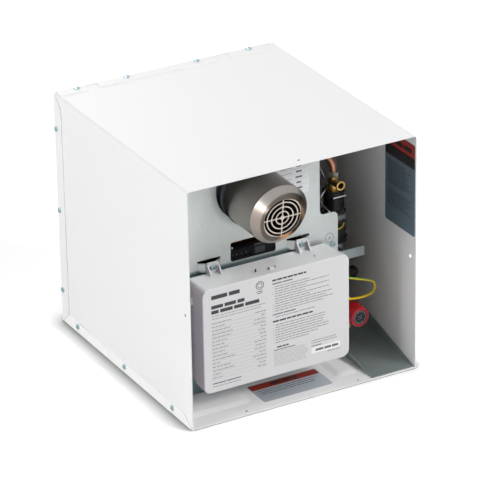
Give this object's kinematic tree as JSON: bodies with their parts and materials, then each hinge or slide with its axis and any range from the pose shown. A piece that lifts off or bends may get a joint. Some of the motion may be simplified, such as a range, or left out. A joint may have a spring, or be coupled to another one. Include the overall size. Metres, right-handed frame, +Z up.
{
  "type": "built-in tankless gas water heater",
  "caption": "Square-cased instant gas water heater for a vehicle, access door off: flue terminal with ring grille, control box, water column, relief valve and drain chute.",
  "frame": {"origin": "centre of the case's underside", "axes": "+Z up, the open service side faces -Y, +X to the right seen from the front"},
  "size_m": [0.3268, 0.3813, 0.3234],
  "materials": {
    "white_paint": "satin powder coat",
    "galvanised_steel": "bright zinc coating",
    "stainless_steel": "brushed, heat tinted low down",
    "zinc_screws": "zinc plated",
    "black_rubber": "matte",
    "copper": "dull drawn copper",
    "cast_aluminium": "as cast",
    "turned_steel": "turned",
    "black_metal": "satin",
    "black_plastic": "fine texture",
    "ceramic": "glazed",
    "brass": "aged",
    "nickel_plate": "nickel plated",
    "pale_plastic": "fine texture",
    "grey_plastic": "smooth",
    "red_plastic": "moulded",
    "disc_grey": "printed film",
    "chute_steel": "zinc coating, dulled",
    "green_board": "solder resist",
    "earth_insulation": "yellow with a green stripe",
    "yellow_insulation": "smooth",
    "red_insulation": "smooth"
  },
  "bodies": {
    "case": {"case_wrapper": "white_paint", "base_pan": "white_paint", "back_panel": "white_paint", "case_screws": "zinc_screws", "front_panel": "galvanised_steel", "panel_screws": "zinc_screws", "support_rail": "galvanised_steel", "flue_pipe": "stainless_steel", "flue_cone": "stainless_steel", "flue_grille": "stainless_steel", "flue_seal": "black_rubber", "flue_collector": "galvanised_steel", "heat_exchanger_shell": "copper", "heat_exchanger_core": "copper", "burner_box": "galvanised_steel", "burner_bars": "stainless_steel", "gas_manifold": "cast_aluminium", "chamber_stand": "galvanised_steel", "fan_housing": "galvanised_steel", "fan_motor": "black_metal", "gas_valve_body": "cast_aluminium", "solenoid_coils": "black_plastic", "gas_tube": "cast_aluminium", "gas_inlet_fitting": "brass", "ignition_module": "black_plastic", "spark_electrodes": "ceramic", "overheat_thermostat": "turned_steel", "manifold_tee": "brass", "union_nuts": "nickel_plate", "riser_pipe": "brass", "flow_sensor_housing": "black_plastic", "strainer_bowl": "grey_plastic", "water_valve_body": "black_plastic", "valve_clip": "turned_steel", "bleed_tee": "brass", "copper_gooseneck": "copper", "cold_inlet_pipe": "copper", "cold_inlet_fitting": "brass", "hot_outlet_pipe": "copper", "hot_outlet_fitting": "brass", "filter_cap": "black_plastic", "relief_valve_body": "brass", "relief_spring": "turned_steel", "drain_chute": "chute_steel", "control_box_tray": "pale_plastic", "control_box_lid": "pale_plastic", "circuit_board": "green_board", "board_components": "black_plastic", "earth_lead": "earth_insulation", "sensor_lead_yellow": "yellow_insulation", "sensor_lead_red": "red_insulation", "cable_gland": "black_plastic"},
    "fan_rotor": {"fan_impeller": "galvanised_steel", "fan_shaft": "turned_steel"},
    "flow_turbine_wheel": {"flow_turbine": "pale_plastic"},
    "relief_knob": {"relief_valve_knob": "red_plastic", "knob_disc": "disc_grey"},
    "relief_stem": {"relief_spindle": "brass"},
    "safety_valve_plunger": {"safety_plunger": "turned_steel"},
    "main_valve_plunger": {"main_plunger": "turned_steel"}
  },
  "joints": [
    {"name": "fan_spin", "type": "hinge", "parent": "case", "child": "fan_rotor", "pos_m": [-0.0313, 0.113, 0.112], "axis": [1, 0, 0], "continuous": true},
    {"name": "turbine_spin", "type": "hinge", "parent": "case", "child": "flow_turbine_wheel", "pos_m": [0.1078, -0.0618, 0.1613], "axis": [0, 0, 1], "continuous": true},
    {"name": "relief_knob_turn", "type": "hinge", "parent": "case", "child": "relief_knob", "pos_m": [0.1078, -0.117, 0.0638], "axis": [0, -1, 0], "range_deg": [0, 90]},
    {"name": "relief_stem_lift", "type": "slide", "parent": "case", "child": "relief_stem", "axis": [0, -1, 0], "range_m": [0, 0.0015], "deforming": ["relief_spring"]},
    {"name": "safety_valve_lift", "type": "slide", "parent": "case", "child": "safety_valve_plunger", "axis": [0, 0, 1], "range_m": [0, 0.002], "stiffness_N_per_m": 300, "springref_m": -0.003},
    {"name": "main_valve_lift", "type": "slide", "parent": "case", "child": "main_valve_plunger", "axis": [0, 0, 1], "range_m": [0, 0.002], "stiffness_N_per_m": 300, "springref_m": -0.003}
  ],
  "couplings": [
    {"joint": "relief_stem_lift", "follows": "relief_knob_turn", "m_per_rad": 0.000954}
  ]
}
